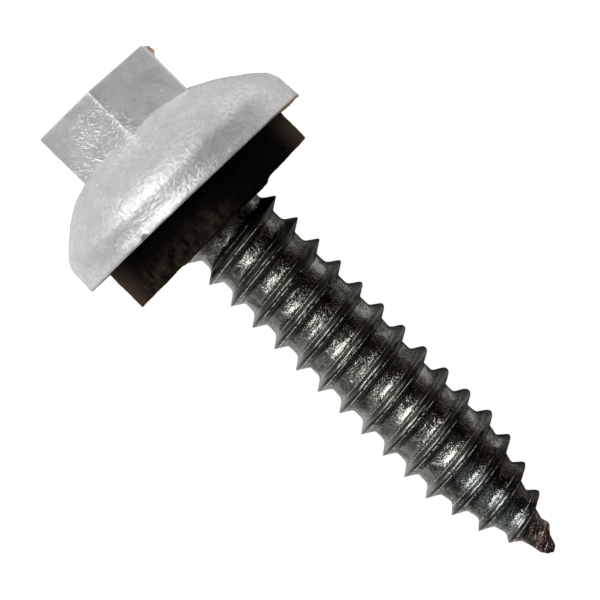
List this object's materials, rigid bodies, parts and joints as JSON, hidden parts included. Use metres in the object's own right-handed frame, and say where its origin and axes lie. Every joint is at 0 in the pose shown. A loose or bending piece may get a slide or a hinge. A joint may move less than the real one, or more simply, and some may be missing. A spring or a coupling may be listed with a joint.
{
  "type": "roofing screw with cast hexagon head and sealing washer",
  "caption": "Coarse-threaded tapping screw with a gimlet point, a cast hexagon head with a wide domed flange, and a thick rubber sealing washer under it.",
  "frame": {"origin": "centre of the hexagon's flat top face, which the screw stands on", "axes": "+Z along the screw's axis from the head to the point; one thread crest passes the +X side just above the washer"},
  "size_m": [0.0168, 0.0168, 0.0384],
  "materials": {
    "dark_steel": "satin",
    "cast_zinc": "satin",
    "black_rubber": "matte"
  },
  "bodies": {
    "root": {"threaded_screw": "dark_steel", "cast_head": "cast_zinc", "sealing_washer": "black_rubber"}
  },
  "joints": []
}
